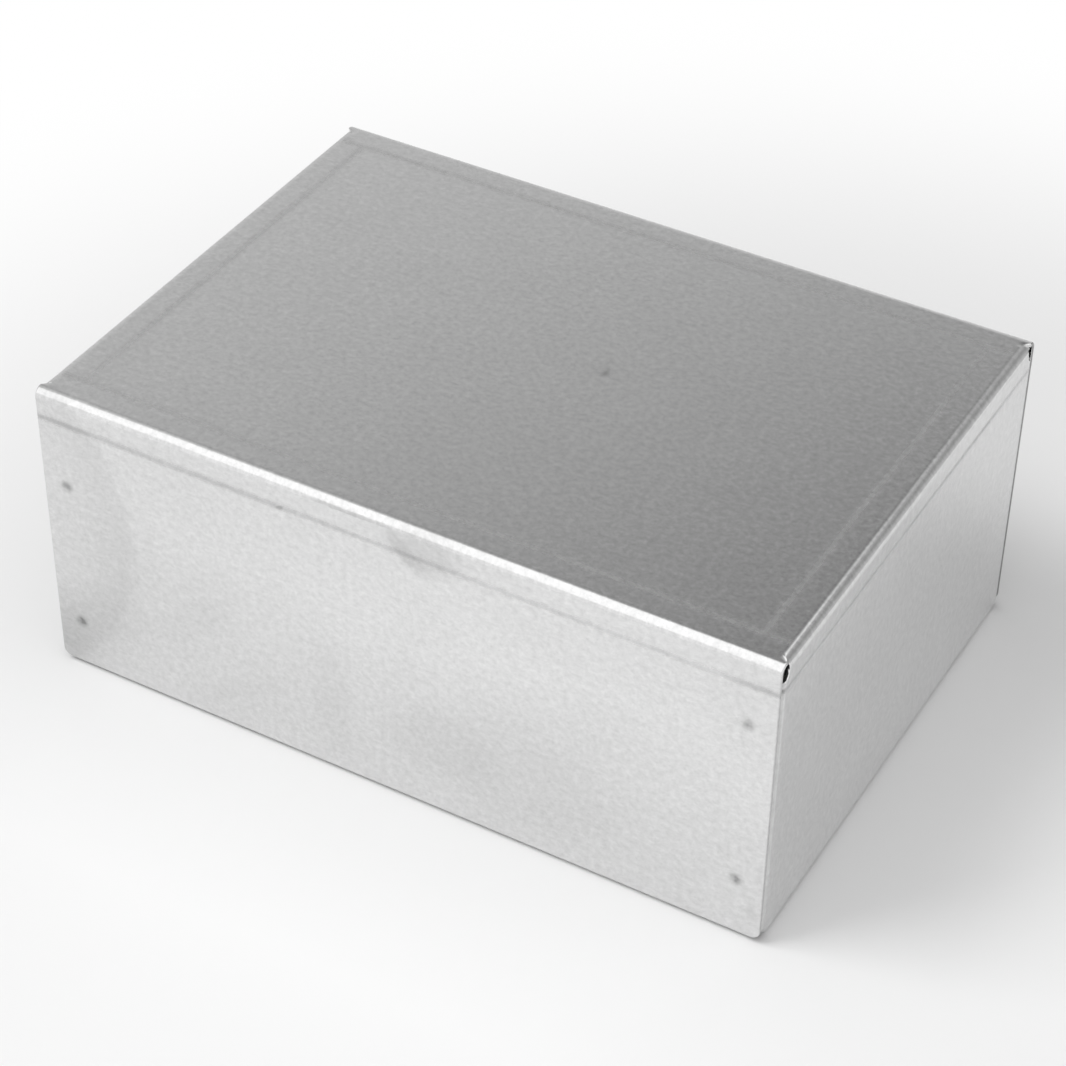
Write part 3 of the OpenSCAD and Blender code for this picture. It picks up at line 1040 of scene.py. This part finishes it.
def backdrop(radius, columns=111, rows=49):
    """Part of a sphere behind the chassis, and its glow, by azimuth a from the back and elevation e.

    With both in degrees, the glow at the left is 0.475 - 0.0085 (a + 30) - 0.03 (e - 36) as far as 42 up,
    less a dip high up. At the right it falls with the elevation alone, 0.58 - 0.0104 e. One blends into the
    other behind the middle, where a lighter patch high up is a bell curve of the azimuth, wider to its
    right. The right end is the brightest: its light comes off the end wall to the floor.
    """
    azimuth, elevation = np.meshgrid(
        np.linspace(*BACKDROP_AZIMUTHS, columns), np.linspace(*BACKDROP_ELEVATIONS, rows), indexing="ij")
    left = np.clip(0.475 - 0.0085 * (azimuth + 30) - 0.03 * (np.minimum(elevation, 42) - 36), 0.22, 0.64)
    right = np.clip(0.58 - 0.0104 * elevation, 0.32, 0.62)
    dip = 0.05 * soft_step(azimuth, -24.5, -17.5) * soft_step(elevation, 33, 37)
    patch = 0.2 * bell(azimuth, np.where(azimuth < 0, 9, 40)) * soft_step(elevation, 24, 38)
    left -= dip
    glow = left + (right - left) * soft_step(azimuth, -10, 25) + patch
    glow += (BACKDROP_END_GLOW - glow) * soft_step(azimuth, 65, 95)
    a = np.radians(azimuth)
    e = np.radians(elevation)
    return radius * np.stack((np.sin(a) * np.cos(e), np.cos(a) * np.cos(e), np.sin(e)), axis=-1), glow


def low_card(radius, height, columns=29, rows=4):
    """Low upright card behind the right end: part of a cylinder about Z, by azimuth a and height z."""
    azimuths = np.radians(np.linspace(*LOW_CARD_ENDS, columns))
    a, z = np.meshgrid(azimuths, np.linspace(LOW_CARD_GAP, height, rows), indexing="ij")
    return np.stack((radius * np.sin(a), radius * np.cos(a), z), axis=-1)


def mirror_card(name, points, glow, material):
    """Glowing card that only the metal's reflections show."""
    mesh = grid_mesh(name, points)
    point_attribute(mesh, "glow", np.broadcast_to(glow, points.shape[:2]).ravel())
    mesh.materials.append(material)
    card = stage_object(name, mesh)
    card.visible_camera = False
    card.visible_diffuse = False
    card.visible_shadow = False
    card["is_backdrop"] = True


def area_lamp(name, power, size, place, aim):
    """Oblong lamp at a place, facing a point. It lights the floor, and no camera or mirror shows it."""
    lamp = bpy.data.lights.new(name, "AREA")
    lamp.shape = "RECTANGLE"
    lamp.size, lamp.size_y = size
    lamp.energy = power
    holder = stage_object(name, lamp)
    holder.location = place
    holder.rotation_euler = (Vector(aim) - Vector(place)).to_track_quat("-Z", "Y").to_euler()
    holder.visible_camera = False
    holder.visible_glossy = False


def set_camera(scene, studio):
    """Camera at its place, facing its aim, rolled about its view line."""
    camera = bpy.data.cameras.new("view")
    camera.lens = studio.camera_lens
    camera.sensor_width = SENSOR_WIDTH
    camera.clip_start = VIEW_START
    holder = stage_object("view", camera)
    place = Vector(studio.camera_place)
    facing = (Vector(studio.camera_aim) - place).to_track_quat("-Z", "Y")
    holder.location = place
    holder.rotation_euler = (facing @ Quaternion((0, 0, 1), studio.camera_roll)).to_euler()
    scene.camera = holder


class CHASSIS_OT_set_studio(bpy.types.Operator):
    """Set the floor, the cards, the lamps and the camera round the chassis"""

    bl_idname = "chassis.set_studio"
    bl_label = "Set Studio"
    bl_options = {"REGISTER", "UNDO"}

    def execute(self, context):
        scene = context.scene
        studio = scene.chassis_studio
        scene.view_settings.view_transform = "Standard"
        if scene.world is None:
            scene.world = bpy.data.worlds.new("studio")
        white_world(scene.world, studio.fill)

        floor = stage_object("floor", grid_mesh("floor", disc(studio.floor_radius)))
        floor.data.materials.append(floor_material(studio))
        floor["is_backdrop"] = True
        glowing = glowing_card()
        mirror_card("softbox", *softbox(studio.softbox_height, studio.softbox_glow), glowing)
        mirror_card("backdrop", *backdrop(studio.backdrop_radius), glowing)
        mirror_card("low_card", low_card(studio.card_radius, studio.card_height), studio.card_glow, glowing)
        below = (*studio.overhead_place[:2], 0)
        area_lamp("overhead_lamp", studio.overhead_power, studio.overhead_size, studio.overhead_place, below)
        area_lamp("left_lamp", studio.left_power, studio.left_size, studio.left_place, (0, 0, 0))
        set_camera(scene, studio)
        return {"FINISHED"}


class CHASSIS_PT_panel(bpy.types.Panel):
    """Sidebar panel with the steps and their settings"""

    bl_idname = "CHASSIS_PT_panel"
    bl_label = "Folded Chassis"
    bl_space_type = "VIEW_3D"
    bl_region_type = "UI"
    bl_category = "Chassis"

    def draw(self, context):
        layout = self.layout
        for operator, groups in STEPS:
            layout.operator(operator)
            for group in groups:
                settings = getattr(context.scene, group)
                box = layout.box()
                for name in settings.__annotations__:
                    box.prop(settings, name)


STEPS = (
    (CHASSIS_OT_fold_sheet.bl_idname, ("chassis_sheet", "chassis_marks", "chassis_finish")),
    (CHASSIS_OT_set_studio.bl_idname, ("chassis_studio",)),
)
SETTINGS = {
    "chassis_sheet": ChassisSheet,
    "chassis_marks": ToolMarks,
    "chassis_finish": SheetFinish,
    "chassis_studio": ChassisStudio,
}
CLASSES = (*SETTINGS.values(), CHASSIS_OT_fold_sheet, CHASSIS_OT_set_studio, CHASSIS_PT_panel)


def register():
    """Registers the classes and hangs the settings on the scene."""
    for cls in CLASSES:
        bpy.utils.register_class(cls)
    for name, cls in SETTINGS.items():
        setattr(bpy.types.Scene, name, PointerProperty(type=cls))


def unregister():
    """Takes the settings and the classes away again."""
    for name in SETTINGS:
        delattr(bpy.types.Scene, name)
    for cls in reversed(CLASSES):
        bpy.utils.unregister_class(cls)


def main():
    """Registers the add-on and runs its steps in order."""
    register()
    bpy.ops.chassis.fold_sheet()
    bpy.ops.chassis.set_studio()


if __name__ == "__main__":
    main()
